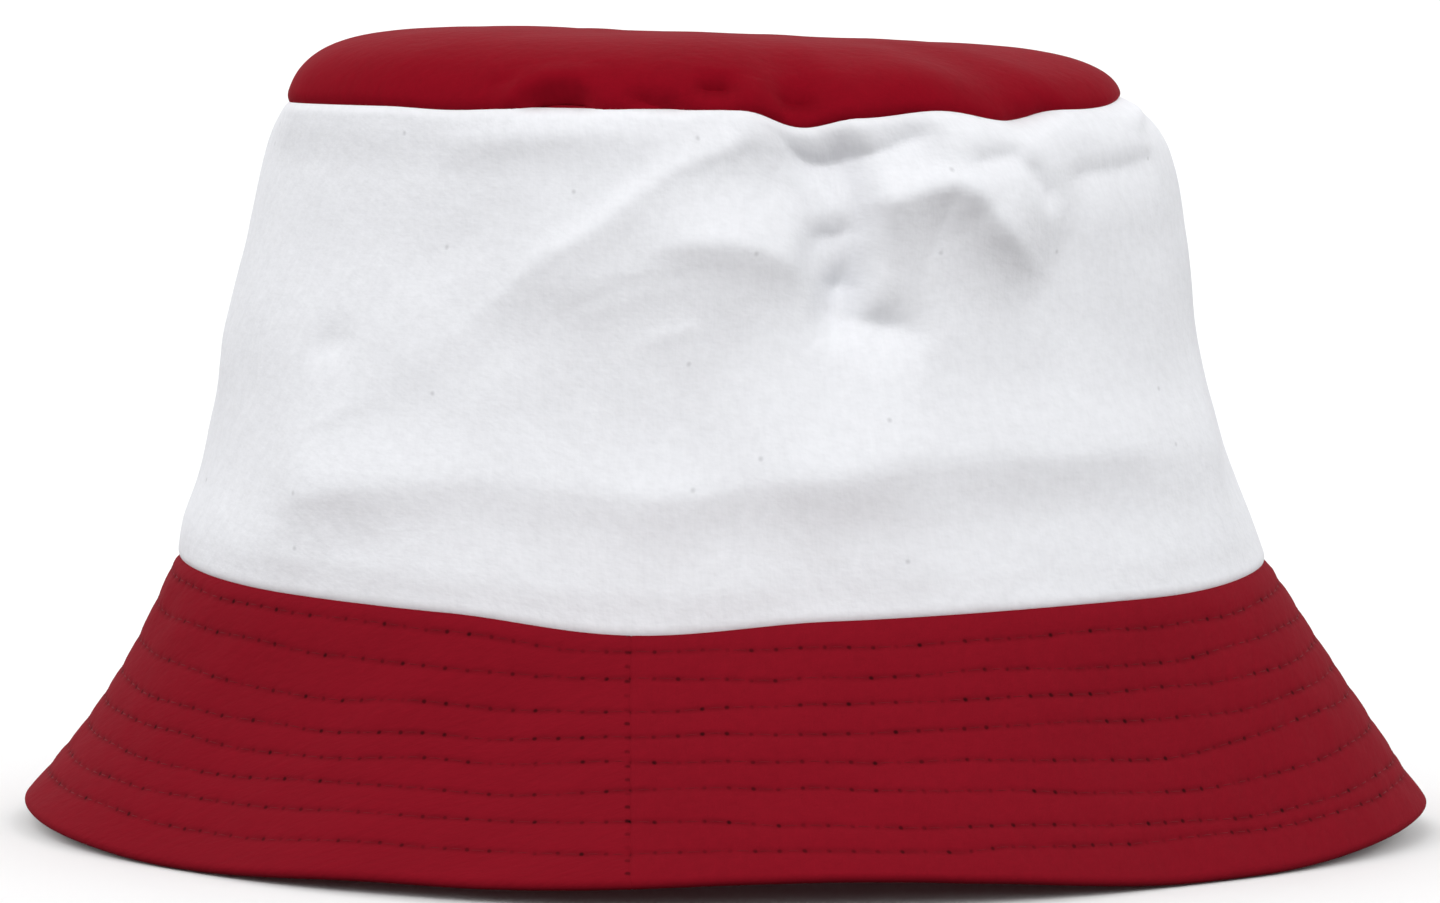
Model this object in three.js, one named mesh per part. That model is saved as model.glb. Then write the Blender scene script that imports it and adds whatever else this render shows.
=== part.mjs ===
// A two-colour bucket hat of cotton cloth, resting on the edge of its brim.
// It is sewn from four pieces: an oval tip, one band for the side of the crown, and a quilted brim
// in two halves. X runs along the length of the head, Y across it, and Z up from the surface that
// the brim rests on. Angles go round from +X, so the front is at -90. Millimetres and degrees.
import * as THREE from "three";

const radians = THREE.MathUtils.degToRad;

// Head size: inside the crown, at the brim seam. These two give about 58 cm round.
const headLength = 205;
const headBreadth = 162;

// Crown: the side band stands between the brim seam and the tip seam, and the tip closes it. The
// tip rises from its seam over a full rim, and its top slopes down towards +X by tipTilt.
const tipLength = 158;
const tipBreadth = 126;
const crownHeight = 88.5;
const tipRise = 13.5;
const tipTilt = 0.115;
const tipFullness = 6;
const tipSkew = 1;
const clothThickness = 1.2;

// Brim: a strip of constant width that slopes down and outwards to the edge that it rests on. Its
// left side sags more than its right side by brimSkew.
const brimWidth = 56;
const brimSlope = 59.6;
const brimThickness = 1.8;
const brimSag = 1.2;
const brimSkew = 1.2;

// Quilting: rows of stitches from just below the brim seam to the hem, which is turned in and thicker.
const stitchRows = 8;
const firstRow = 2.75;
const hemWidth = 7.75;
const hemThickness = 2.3;
const quiltPuff = 0.3;

// Waves, folds and dents: the tables below give shares of these.
const edgeLift = 5;
const brimSeamDip = 5;
const tipSeamDip = 3.2;
const foldDepth = 2;
const foldWidth = 12;
const dentDepth = 3;
const dentWidth = 12;

// Two pieces that are sewn together stand this far apart.
const seamGap = 0.3;

// The brim's two seams lean a little from the crown to the edge.
const frontSeam = { atCrown: -99.5, atEdge: -97 };
const backSeam = { atCrown: 88, atEdge: 88.5 };

// Facets: columns go round, rows go up the band, and rings go in across the tip, closer together
// at its seam, where it curves most.
const columns = 78;
const bandRows = 12;
const tipRings = 8;
const ringCrowding = 2.2;

// Side of the crown by height, as a share of crownHeight: how much of the difference between the
// head and the tip is left in the outline, and how far it leans along X, as a share of headLength.
const crownSections = [
  { height: 0, spread: 1, lean: 0 },
  { height: 0.08, spread: 0.93, lean: -0.004 },
  { height: 0.2, spread: 0.775, lean: -0.006 },
  { height: 0.35, spread: 0.64, lean: -0.009 },
  { height: 0.5, spread: 0.54, lean: -0.012 },
  { height: 0.7, spread: 0.41, lean: -0.007 },
  { height: 0.86, spread: 0.3, lean: -0.006 },
  { height: 0.94, spread: 0.19, lean: -0.01 },
  { height: 1, spread: 0, lean: -0.0195 },
];

// Where the edge of the brim lifts off the surface, as shares of edgeLift. Between these it rests.
const edgeWaves = [
  { angle: -4, width: 36, rise: 0.9 },
  { angle: -80, width: 33, rise: 1.05 },
  { angle: -112, width: 32, rise: 0.55 },
  { angle: 180, width: 42, rise: 0.65 },
  { angle: 92, width: 38, rise: 0.8 },
];

// Where the brim seam rises or dips, as shares of brimSeamDip: the brim's own seams draw it down.
const brimSeamWaves = [
  { angle: -97, width: 58, rise: -0.52 },
  { angle: -99, width: 20, rise: -0.45 },
  { angle: 0, width: 42, rise: 0.5 },
  { angle: 180, width: 40, rise: 0.45 },
  { angle: 90, width: 50, rise: -0.6 },
];

// Where the tip seam rises or dips, as shares of tipSeamDip.
const tipSeamWaves = [
  { angle: -78, width: 7.5, rise: -0.8 },
  { angle: -71, width: 11, rise: -0.4 },
  { angle: -48, width: 12, rise: -0.6 },
  { angle: -8, width: 25, rise: 0.6 },
  { angle: -124, width: 12, rise: -0.15 },
  { angle: 60, width: 20, rise: -0.5 },
  { angle: 125, width: 24, rise: -0.6 },
];

// Folds in the side of the crown, as creases between two places, each an angle and a share of the
// crown's height. A positive rise stands out. Rise and width are shares of foldDepth and foldWidth.
const crownFolds = [
  { from: [-87, 1], to: [-115, 0.67], rise: 0.75, width: 1 },
  { from: [-115, 0.67], to: [-142, 0.33], rise: 0.35, width: 1.1 },
  { from: [-93, 0.82], to: [-109, 0.62], rise: -0.5, width: 1.1 },
  { from: [-82, 0.93], to: [-69, 0.93], rise: -0.9, width: 0.9 },
  { from: [-79, 0.86], to: [-70, 0.61], rise: -0.7, width: 0.8 },
  { from: [-75, 0.82], to: [-60, 0.95], rise: 0.5, width: 0.7 },
  { from: [-63, 0.87], to: [-52, 0.68], rise: -0.6, width: 1 },
  { from: [-57, 0.88], to: [-45, 0.66], rise: 0.6, width: 0.8 },
  { from: [-44, 0.87], to: [-15, 0.9], rise: -0.5, width: 0.7 },
  { from: [-97, 0.74], to: [-80, 0.67], rise: -0.5, width: 1 },
  { from: [-82, 0.46], to: [-66, 0.42], rise: 0.5, width: 1.6 },
  { from: [-152, 0.14], to: [-125, 0.26], rise: 0.5, width: 1 },
  { from: [-125, 0.26], to: [-95, 0.26], rise: 0.5, width: 1 },
  { from: [-95, 0.26], to: [-60, 0.33], rise: 0.5, width: 1 },
  { from: [-60, 0.33], to: [-22, 0.3], rise: 0.5, width: 1 },
  { from: [10, 0.28], to: [75, 0.3], rise: 0.45, width: 1.1 },
  { from: [75, 0.3], to: [150, 0.24], rise: 0.45, width: 1.1 },
  { from: [38, 0.98], to: [66, 0.62], rise: 0.7, width: 1.1 },
  { from: [60, 0.93], to: [88, 0.7], rise: -0.8, width: 1.1 },
  { from: [124, 0.95], to: [104, 0.62], rise: 0.6, width: 1.1 },
  { from: [150, 0.9], to: [165, 0.5], rise: -0.5, width: 1.2 },
];

// Dents in the tip, by angle and by share of the way out to its seam, as shares of dentDepth and
// dentWidth. A negative depth stands out.
const tipDents = [
  { angle: -109, out: 0.93, depth: 1, width: 1 },
  { angle: -121, out: 0.92, depth: -0.3, width: 0.9 },
  { angle: -93, out: 0.9, depth: 0.4, width: 0.9 },
  { angle: -80, out: 0.93, depth: 0.5, width: 0.9 },
  { angle: -50, out: 0.95, depth: 0.5, width: 1 },
  { angle: 70, out: 0.92, depth: 0.7, width: 1.5 },
  { angle: 125, out: 0.92, depth: 0.6, width: 1.4 },
  { angle: 20, out: 0.45, depth: 0.15, width: 3.4 },
  { angle: -170, out: 0.4, depth: -0.15, width: 3 },
];

// A smooth rise from 0 at -1 to 1 at 0 and back to 0 at 1.
const bump = (t) => (Math.abs(t) < 1 ? (1 + Math.cos(Math.PI * t)) / 2 : 0);

// The shortest way round from one angle to another.
const turnBetween = (from, to) => ((((to - from) % 360) + 540) % 360) - 180;

// The sum of a table's waves at an angle.
const waveAt = (waves, angle) =>
  waves.reduce((sum, w) => sum + w.rise * bump(turnBetween(w.angle, angle) / w.width), 0);

// Heights of the three curves that bound the pieces: the brim's edge, its seam and the tip's seam.
const brimHeight = brimWidth * Math.sin(radians(brimSlope));
const edgeHeight = (angle) => edgeLift * waveAt(edgeWaves, angle);
const brimSeamHeight = (angle) => brimHeight + brimSeamDip * waveAt(brimSeamWaves, angle);
const tipSeamHeight = (angle) => brimHeight + crownHeight + tipSeamDip * waveAt(tipSeamWaves, angle);

// A column of crownSections at any height, on a smooth curve through its rows.
function sectionAt(column, height) {
  const rows = crownSections;
  let i = 0;
  while (i < rows.length - 2 && height > rows[i + 1].height) i += 1;
  const slope = (a, b) => (rows[b][column] - rows[a][column]) / (rows[b].height - rows[a].height);
  const span = rows[i + 1].height - rows[i].height;
  const t = (height - rows[i].height) / span;
  const startSlope = slope(Math.max(i - 1, 0), i + 1) * span;
  const endSlope = slope(i, Math.min(i + 2, rows.length - 1)) * span;
  const [start, end] = [rows[i][column], rows[i + 1][column]];
  const turn = (1 - t) * (startSlope - (end - start)) - t * (endSlope - (end - start));
  return THREE.MathUtils.lerp(start, end, t) + t * (1 - t) * turn;
}

// The crown's outside outline at a height share: half length, half breadth, and shift along X.
function outlineAt(height) {
  const spread = sectionAt("spread", height);
  return {
    length: THREE.MathUtils.lerp(tipLength / 2, headLength / 2 + clothThickness, spread),
    breadth: THREE.MathUtils.lerp(tipBreadth / 2, headBreadth / 2 + clothThickness, spread),
    shift: headLength * sectionAt("lean", height),
  };
}

// A place on an oval outline, and the level direction that points straight out of it.
function ovalPoint({ length, breadth, shift }, angle, height) {
  const [c, s] = [Math.cos(radians(angle)), Math.sin(radians(angle))];
  return new THREE.Vector3(shift + length * c, breadth * s, height);
}
function ovalNormal({ length, breadth }, angle) {
  const [c, s] = [Math.cos(radians(angle)), Math.sin(radians(angle))];
  return new THREE.Vector3(c / length, s / breadth, 0).normalize();
}

// How far the side of the crown stands out at a place: each fold fades away from its crease.
function foldAt(angle, height) {
  const girth = (Math.PI * (headLength + headBreadth + tipLength + tipBreadth)) / 4;
  return crownFolds.reduce((sum, fold) => {
    const run = (turnBetween(fold.from[0], fold.to[0]) / 360) * girth;
    const climb = (fold.to[1] - fold.from[1]) * crownHeight;
    const x = (turnBetween(fold.from[0], angle) / 360) * girth;
    const y = (height - fold.from[1]) * crownHeight;
    const along = THREE.MathUtils.clamp((x * run + y * climb) / (run * run + climb * climb), 0, 1);
    const away = Math.hypot(x - along * run, y - along * climb);
    return sum + fold.rise * foldDepth * bump(away / (fold.width * foldWidth));
  }, 0);
}

// A closed wall of cloth between an outer and an inner face, each a function of a place round the
// piece and a place up it, both from 0 to 1. The columns close into a ring, or end in two cut
// edges. With a pole, the top row is one point.
function clothWall({ columnPlaces, rowPlaces, outer, inner, ring, pole }) {
  const positions = [];
  const index = [];
  const last = rowPlaces.length - 1;
  const numberFace = (face) =>
    rowPlaces.map((row, r) =>
      columnPlaces.map((column, c) => {
        const samePoint = pole && r === last && c > 0;
        if (!samePoint) positions.push(...face(column, row).toArray());
        return positions.length / 3 - 1;
      }),
    );
  const addQuad = (a, b, c, d) => {
    index.push(a, b, c);
    if (c !== d) index.push(a, c, d);
  };
  const [front, back] = [numberFace(outer), numberFace(inner)];
  const steps = ring ? columnPlaces.length : columnPlaces.length - 1;
  for (let c = 0; c < steps; c += 1) {
    const next = (c + 1) % columnPlaces.length;
    for (let r = 0; r < last; r += 1) {
      addQuad(front[r][c], front[r][next], front[r + 1][next], front[r + 1][c]);
      addQuad(back[r][next], back[r][c], back[r + 1][c], back[r + 1][next]);
    }
    addQuad(back[0][c], back[0][next], front[0][next], front[0][c]);
    if (!pole) addQuad(front[last][c], front[last][next], back[last][next], back[last][c]);
  }
  const end = columnPlaces.length - 1;
  for (let r = 0; !ring && r < last; r += 1) {
    addQuad(back[r][0], front[r][0], front[r + 1][0], back[r + 1][0]);
    addQuad(front[r][end], back[r][end], back[r + 1][end], front[r + 1][end]);
  }
  const geometry = new THREE.BufferGeometry();
  geometry.setAttribute("position", new THREE.Float32BufferAttribute(positions, 3));
  geometry.setIndex(index);
  geometry.computeVertexNormals();
  return geometry;
}

const evenly = (count) => Array.from({ length: count }, (_, i) => i / (count - 1));
const roundTheRing = Array.from({ length: columns }, (_, i) => i / columns);

// The side band of the crown, from the brim seam (place 0) to the tip seam (place 1).
function sideBand() {
  const outer = (column, row) => {
    const angle = 360 * column;
    const outline = outlineAt(row);
    const [low, high] = [brimSeamHeight(angle) + seamGap / 2, tipSeamHeight(angle) - seamGap / 2];
    const point = ovalPoint(outline, angle, THREE.MathUtils.lerp(low, high, row));
    return point.addScaledVector(ovalNormal(outline, angle), foldAt(angle, row));
  };
  const inner = (column, row) => {
    const normal = ovalNormal(outlineAt(row), 360 * column);
    return outer(column, row).addScaledVector(normal, -clothThickness);
  };
  const rowPlaces = evenly(bandRows);
  return clothWall({ columnPlaces: roundTheRing, rowPlaces, outer, inner, ring: true });
}

// How far the tip sinks at a place, from all its dents.
function dentAt(rim, angle, out) {
  const place = (a, share) => ovalPoint(rim, a, 0).multiplyScalar(share);
  const here = place(angle, out);
  return tipDents.reduce((sum, dent) => {
    const away = here.distanceTo(place(dent.angle, dent.out));
    return sum + dent.depth * dentDepth * bump(away / (dent.width * dentWidth));
  }, 0);
}

// The oval tip: upright at its seam (place 0), rounding over to its middle (place 1).
function tip() {
  const rim = outlineAt(1);
  const surface = (angle, out, sink) => {
    const fullness = tipFullness - tipSkew * Math.cos(radians(angle));
    const level = Math.sqrt(1 - Math.min(1, out ** fullness));
    const upright = out ** (fullness / 2);
    const rise = tipRise * (1 - tipTilt * out * Math.cos(radians(angle)));
    const seam = THREE.MathUtils.lerp(brimHeight + crownHeight, tipSeamHeight(angle), out ** fullness);
    const outline = { length: rim.length * out, breadth: rim.breadth * out, shift: rim.shift };
    const point = ovalPoint(outline, angle, seam + seamGap / 2 + rise * level);
    const facing = ovalNormal(rim, angle).multiplyScalar(upright).setZ(level);
    const dent = dentAt(rim, angle, out) * (1 - upright ** 2);
    const fold = foldAt(angle, 1) * upright;
    return point.addScaledVector(facing, fold - dent - sink);
  };
  const outAt = (row) => 1 - row ** ringCrowding;
  const outer = (column, row) => surface(360 * column, outAt(row), 0);
  const inner = (column, row) => surface(360 * column, outAt(row), clothThickness);
  const rowPlaces = evenly(tipRings);
  return clothWall({ columnPlaces: roundTheRing, rowPlaces, outer, inner, ring: true, pole: true });
}

// Distances down the brim from its seam: a line on each stitch row, and on the puff between two.
const lastRow = brimWidth - hemWidth;
const rowSpacing = (lastRow - firstRow) / (stitchRows - 1);
const quiltLines = evenly(2 * stitchRows - 1).map((t) => THREE.MathUtils.lerp(firstRow, lastRow, t));
const puffAt = (distance) => {
  const quilted = distance > firstRow && distance < lastRow;
  return quilted ? quiltPuff * Math.abs(Math.sin((Math.PI * (distance - firstRow)) / rowSpacing)) : 0;
};

// One half of the brim, between two of its seams, from the edge (place 0) up to its seam (place 1).
function brimHalf(start, end) {
  const outline = outlineAt(0);
  const halfGap = THREE.MathUtils.radToDeg(seamGap / 2 / outline.length);
  // The straight slope at a place: fall and reach are how far down and out its edge is.
  const slopeAt = (column, row) => {
    const down = 1 - row;
    const first = THREE.MathUtils.lerp(start.atCrown, start.atEdge, down) + halfGap;
    const final = THREE.MathUtils.lerp(end.atCrown, end.atEdge, down) - halfGap;
    const angle = THREE.MathUtils.lerp(first, final, column);
    const top = brimSeamHeight(angle) - seamGap / 2;
    const fall = top - edgeHeight(angle);
    const reach = Math.sqrt(brimWidth ** 2 - fall ** 2);
    return { angle, down, top, fall, reach, normal: ovalNormal(outline, angle) };
  };
  const outer = (column, row) => {
    const { angle, down, top, fall, reach, normal } = slopeAt(column, row);
    const sag = brimSag * (brimSkew - Math.cos(radians(angle))) * Math.sin(Math.PI * down);
    const stand = puffAt(down * brimWidth) - sag;
    const point = ovalPoint(outline, angle, top - fall * down + (stand * reach) / brimWidth);
    return point.addScaledVector(normal, reach * down + (stand * fall) / brimWidth);
  };
  const inner = (column, row) => {
    const { down, fall, normal } = slopeAt(column, row);
    const hem = THREE.MathUtils.smoothstep(down * brimWidth, lastRow, brimWidth);
    const cloth = THREE.MathUtils.lerp(brimThickness, hemThickness, hem);
    const thickness = cloth + 2 * puffAt(down * brimWidth);
    return outer(column, row).addScaledVector(normal, (-thickness * brimWidth) / fall);
  };
  const distances = [0, ...quiltLines, brimWidth - hemWidth / 2, brimWidth];
  const steps = Math.round((columns * (end.atCrown - start.atCrown)) / 360);
  const rowPlaces = distances.map((distance) => 1 - distance / brimWidth).reverse();
  return clothWall({ columnPlaces: evenly(steps + 1), rowPlaces, outer, inner });
}

const redCotton = new THREE.MeshStandardMaterial({ color: 0x8c1424, roughness: 0.92, metalness: 0 });
const whiteCotton = new THREE.MeshStandardMaterial({ color: 0xe6e8ec, roughness: 0.9, metalness: 0 });

const hat = new THREE.Group();
function addPiece(name, geometry, material) {
  const piece = new THREE.Mesh(geometry, material);
  piece.name = name;
  hat.add(piece);
}

const frontSeamAgain = { atCrown: frontSeam.atCrown + 360, atEdge: frontSeam.atEdge + 360 };
addPiece("crown_tip", tip(), redCotton);
addPiece("crown_band", sideBand(), whiteCotton);
addPiece("brim_right", brimHalf(frontSeam, backSeam), redCotton);
addPiece("brim_left", brimHalf(backSeam, frontSeamAgain), redCotton);

export default hat;
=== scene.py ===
import bpy
import numpy as np
from mathutils import Matrix


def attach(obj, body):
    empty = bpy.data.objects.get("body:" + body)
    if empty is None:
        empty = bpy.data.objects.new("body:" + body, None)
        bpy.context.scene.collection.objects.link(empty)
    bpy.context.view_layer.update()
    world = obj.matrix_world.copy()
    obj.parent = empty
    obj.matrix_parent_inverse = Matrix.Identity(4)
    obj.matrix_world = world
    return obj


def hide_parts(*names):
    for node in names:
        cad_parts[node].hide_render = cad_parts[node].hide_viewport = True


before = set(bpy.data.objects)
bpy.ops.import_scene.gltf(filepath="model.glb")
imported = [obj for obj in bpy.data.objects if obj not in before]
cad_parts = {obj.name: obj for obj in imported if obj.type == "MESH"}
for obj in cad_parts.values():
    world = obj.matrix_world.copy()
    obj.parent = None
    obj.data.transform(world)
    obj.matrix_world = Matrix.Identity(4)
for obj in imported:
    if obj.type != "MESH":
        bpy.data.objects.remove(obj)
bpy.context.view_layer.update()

MM = 0.001

# Driving sizes of the hat, as its solids have them.
HEAD_LENGTH = 205
HEAD_BREADTH = 162
TIP_LENGTH = 158
TIP_BREADTH = 126
CROWN_HEIGHT = 88.5
TIP_RISE = 13.5
TIP_TILT = 0.115
TIP_FULLNESS = 6
CLOTH = 1.2
BRIM_WIDTH = 56
BRIM_SLOPE = 59.6
BRIM_CLOTH = 1.8
BRIM_SAG = 1.2
BRIM_SKEW = 1.2
STITCH_ROWS = 8
FIRST_ROW = 2.75
HEM_WIDTH = 7.75
HEM_CLOTH = 2.3
EDGE_LIFT = 5
BRIM_SEAM_DIP = 5
TIP_SEAM_DIP = 3.2
FOLD_DEPTH = 2
FOLD_WIDTH = 12
DENT_DEPTH = 3
DENT_WIDTH = 12

LAST_ROW = BRIM_WIDTH - HEM_WIDTH
ROW_SPACING = (LAST_ROW - FIRST_ROW) / (STITCH_ROWS - 1)
BRIM_HEIGHT = BRIM_WIDTH * np.sin(np.radians(BRIM_SLOPE))
BAND_GIRTH = np.pi * (HEAD_LENGTH + HEAD_BREADTH + TIP_LENGTH + TIP_BREADTH) / 4

# Sewing: cloth rolls in by TUCK over the last TUCK_WIDTH before a seam, and pieces meet SEAM_LAP
# past the line between them, so that a seam is a narrow groove and never a gap.
TUCK = 0.9
TUCK_WIDTH = 1.8
SEAM_LAP = 0.12
# Unevenness fades over this distance from a seam, so that both pieces follow one line there.
SEAM_CALM = 7
# The brim's way out turns level over this distance from the band, so that the two edges meet.
SEAM_TURN = 2.4
STITCH_LENGTH = 4.3
SEAM_STITCH_LENGTH = 3.1
SEAM_STITCH_INSET = 0.75
GROOVE_DEPTH = 0.17
GROOVE_WIDTH = 1.25
PUCKER = 0.16
THREAD = 0.12
SEAM_DITCH = 0.3
SEAM_DITCH_WIDTH = 0.9
SEAM_ROUND = 0.4
# The hem's rounded edge ends short of the brim's full width, so that it lies on the floor and not in it.
EDGE_SETBACK = 1.0

# Height as a share of CROWN_HEIGHT, share of the difference between head and tip that is left in
# the outline, and lean along X as a share of HEAD_LENGTH.
CROWN_SECTIONS = np.array([
    (0, 1, 0),
    (0.08, 0.93, -0.004),
    (0.2, 0.775, -0.006),
    (0.35, 0.64, -0.009),
    (0.5, 0.54, -0.012),
    (0.7, 0.41, -0.007),
    (0.86, 0.3, -0.006),
    (0.94, 0.19, -0.01),
    (1, 0, -0.0195),
])

# Angle, width in degrees, and rise as a share of EDGE_LIFT, BRIM_SEAM_DIP or TIP_SEAM_DIP.
EDGE_WAVES = [(-4, 36, 0.9), (-80, 33, 1.05), (-112, 32, 0.55), (180, 42, 0.65), (92, 38, 0.8)]
BRIM_SEAM_WAVES = [(-97, 58, -0.52), (-99, 20, -0.45), (0, 42, 0.5), (180, 40, 0.45), (90, 50, -0.6)]
TIP_SEAM_WAVES = [
    (-78, 7.5, -0.8), (-71, 11, -0.4), (-48, 12, -0.6), (-8, 25, 0.6), (-124, 12, -0.15),
    (60, 20, -0.5), (125, 24, -0.6),
]

# Broad folds in the side of the crown: from and to (angle, height), rise and width as shares of
# FOLD_DEPTH and FOLD_WIDTH.
BROAD_FOLDS = [
    (-87, 1, -115, 0.67, 0.25, 1),
    (-115, 0.67, -142, 0.33, 0.15, 1.1),
    (-79, 0.86, -70, 0.61, -0.3, 0.9),
    (-152, 0.14, -125, 0.26, 0.2, 1.2),
    (-125, 0.26, -95, 0.26, 0.2, 1.2),
    (-95, 0.26, -60, 0.33, 0.2, 1.2),
    (-60, 0.33, -22, 0.3, 0.2, 1.2),
    (10, 0.28, 75, 0.3, 0.45, 1.1),
    (75, 0.3, 150, 0.24, 0.45, 1.1),
    (38, 0.98, 66, 0.62, 0.7, 1.1),
    (60, 0.93, 88, 0.7, -0.8, 1.1),
    (124, 0.95, 104, 0.62, 0.6, 1.1),
    (150, 0.9, 165, 0.5, -0.5, 1.2),
]

# Dents in the top of the tip: angle, share of the way out, depth and width as shares of DENT_DEPTH
# and DENT_WIDTH.
TIP_DENTS = [
    (70, 0.92, 0.7, 1.5),
    (125, 0.92, 0.6, 1.4),
    (20, 0.45, 0.15, 3.4),
    (-170, 0.4, -0.15, 3),
]

# Creases and bent faces in the crown, which the cloth keeps from lying folded: rise, and spread to the
# left and right of the path, in millimetres, share of the path over which each end fades, and path of
# (angle, height share), which goes on past 1 up the upright rim of the tip. Where they are given, then
# come the rounding of the edge in millimetres, and how fast it levels out: at 1 its sides are straight.
CROWN_CREASES = [
    # The side stands more upright at the front than at the ends, under the tip and over the brim.
    (3.4, 26, 12.5, (0.12, 0.12), [(-176, 1), (-130, 1), (-80, 1), (-40, 1), (-6, 1)]),
    (1.9, 40, 24, (0.14, 0.08), [(-158, 0.24), (-125, 0.265), (-106, 0.27), (-88, 0.27), (-64, 0.31),
     (-30, 0.29), (-8, 0.27)], 2, 1.3),
    (1.4, 9, 22, (0.35, 0.35), [(-128, 0.93), (-112, 0.945), (-95, 0.965)], 1),
    # The long slanting ridge, with a stripe of light on its upper left, and the hollow beside its top.
    (1.2, 11, 5, (0, 0.6), [(-84, 1.03), (-87, 0.94), (-96, 0.875), (-104.5, 0.765), (-110, 0.71),
     (-115, 0.63), (-126, 0.46)]),
    (-0.5, 5, 12, (0.3, 0.2), [(-96, 0.855), (-89, 0.905), (-81, 0.93)]),
    # The arc under it, and faint wrinkles that fan out below the arc.
    (1.5, 12, 7.5, (0.3, 0.25), [(-100, 0.72), (-94, 0.748), (-86.5, 0.742), (-82, 0.715),
     (-78.5, 0.675)], 0.7),
    (2.6, 30, 30, (0.35, 0.35), [(-116, 0.62), (-100, 0.7), (-88, 0.72), (-76, 0.66)], 2),
    (0.12, 3, 2.5, (0.4, 0.4), [(-110.5, 0.6), (-99.5, 0.69), (-89, 0.7)]),
    (0.12, 3, 2.5, (0.4, 0.4), [(-107.5, 0.58), (-96.5, 0.655), (-88, 0.665)]),
    (0.25, 3, 3.5, (0.3, 0.3), [(-98.8, 0.548), (-95.8, 0.565), (-90.8, 0.595)]),
    # The deep pleat under the tip seam, and the small lump at its left end.
    (-4.4, 9, 24, (0.3, 0.25), [(-85, 0.99), (-81.5, 0.955), (-78, 0.925), (-72, 0.922), (-67, 0.94),
     (-59, 0.968)]),
    (0.6, 3, 5, (0.3, 0.3), [(-82.5, 0.905), (-80, 0.88), (-77.5, 0.85)]),
    # Three dents below it.
    (-3, 6.5, 26, (0.4, 0.4), [(-81.5, 0.782), (-76.5, 0.772), (-71, 0.78)]),
    (-5.4, 8.5, 12, (0.5, 0.5), [(-79.3, 0.69), (-75.2, 0.67), (-70.5, 0.652)], 0.6, 1.5),
    (-3, 8, 16, (0.4, 0.45), [(-79.5, 0.638), (-73, 0.595), (-62.5, 0.548)]),
    # The bent edge of a plane that faces down, the fullness under its peak, and the creases around it.
    (6.2, 44, 19, (0.15, 0.4), [(-74, 0.83), (-68, 0.845), (-61.5, 0.862), (-56.5, 0.785), (-51.6, 0.715),
     (-47.2, 0.655)]),
    (1.4, 5, 18, (0.4, 0.4), [(-67, 0.84), (-61.5, 0.853), (-57, 0.805)], 1),
    (-1.4, 5, 5, (0.3, 0.3), [(-61, 0.885), (-55, 0.91), (-48.5, 0.94)]),
    (-1.3, 6, 5, (0.3, 0.4), [(-50, 0.93), (-48.5, 0.88), (-45.5, 0.8)]),
    (-0.9, 4.5, 10, (0.25, 0.15), [(-45, 0.865), (-33.8, 0.872), (-24, 0.88), (-17, 0.885)]),
    (1.6, 4, 3.5, (0.4, 0.4), [(-26, 0.955), (-16, 0.975), (-6, 0.98)]),
    # The ridge that runs round above the brim, with broad bright faces above it.
    (0.24, 9, 8, (0.15, 0.6), [(-152, 0.15), (-134.8, 0.215), (-125.8, 0.25), (-116.8, 0.27),
     (-106.5, 0.275), (-94, 0.265), (-88, 0.27), (-76.2, 0.3), (-63.8, 0.31), (-49.2, 0.31), (-29.8, 0.29),
     (-18, 0.27)], 1),
    (1.5, 24, 11, (0.4, 0.4), [(-147, 0.19), (-134.8, 0.225), (-122, 0.262)], 2, 1.4),
    (2.3, 24, 25, (0.5, 0.3), [(-92, 0.265), (-86, 0.28), (-76, 0.305), (-63, 0.315)], 2, 1.4),
    (0.7, 16, 12, (0.3, 0.3), [(-60, 0.31), (-45, 0.312), (-31, 0.3)], 1.5),
    (0.4, 5, 20, (0.4, 0.4), [(-103, 0.277), (-94, 0.262), (-86, 0.272)], 1.5),
    # Shallow marks at the left.
    (-0.9, 8, 7, (0.4, 0.4), [(-144, 0.5), (-139, 0.51), (-133, 0.52)], 1.5),
    (0.25, 7, 3, (0.4, 0.4), [(-143.8, 0.315), (-131.8, 0.4), (-127, 0.415)]),
    # The hollow, the dents and the folds in the rim of the tip.
    (-4.2, 7, 2.5, (0.3, 0.3), [(-115.5, 1.0), (-109, 1.01), (-102.5, 1.005)]),
    (1.3, 5, 5, (0.25, 0.25), [(-117, 0.99), (-114, 1.035), (-110, 1.06), (-106, 1.055), (-102, 0.995)]),
    (-0.5, 2.5, 2.5, (0.4, 0.4), [(-120, 1.045), (-114, 1.052)]),
    (-2.2, 4, 2.5, (0.35, 0.35), [(-101, 1.032), (-97, 1.012), (-91, 1.0)]),
    (-2.8, 4.5, 4, (0.35, 0.35), [(-92, 1.047), (-88.5, 1.04), (-85, 1.042)]),
    (-2.8, 6.5, 4, (0.35, 0.35), [(-81.5, 1.052), (-78, 1.045), (-74, 1.052)]),
    (-2.2, 5, 3, (0.35, 0.35), [(-51, 1.0), (-43, 1.0), (-35, 1.0)]),
    # The sides and the back.
    (0.7, 14, 5, (0.2, 0.2), [(0, 0.3), (30, 0.27), (60, 0.31), (95, 0.28), (130, 0.26), (165, 0.22)]),
    (0.8, 6, 5, (0, 0.4), [(36, 1.02), (48, 0.86), (60, 0.7), (66, 0.6)]),
    (0.7, 5, 7, (0, 0.4), [(126, 1.02), (116, 0.84), (105, 0.64)]),
    (-0.6, 4, 8, (0.3, 0.4), [(60, 0.94), (74, 0.84), (88, 0.72)]),
    (0.5, 5, 4, (0.3, 0.4), [(150, 0.85), (160, 0.66), (172, 0.52)]),
]

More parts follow.
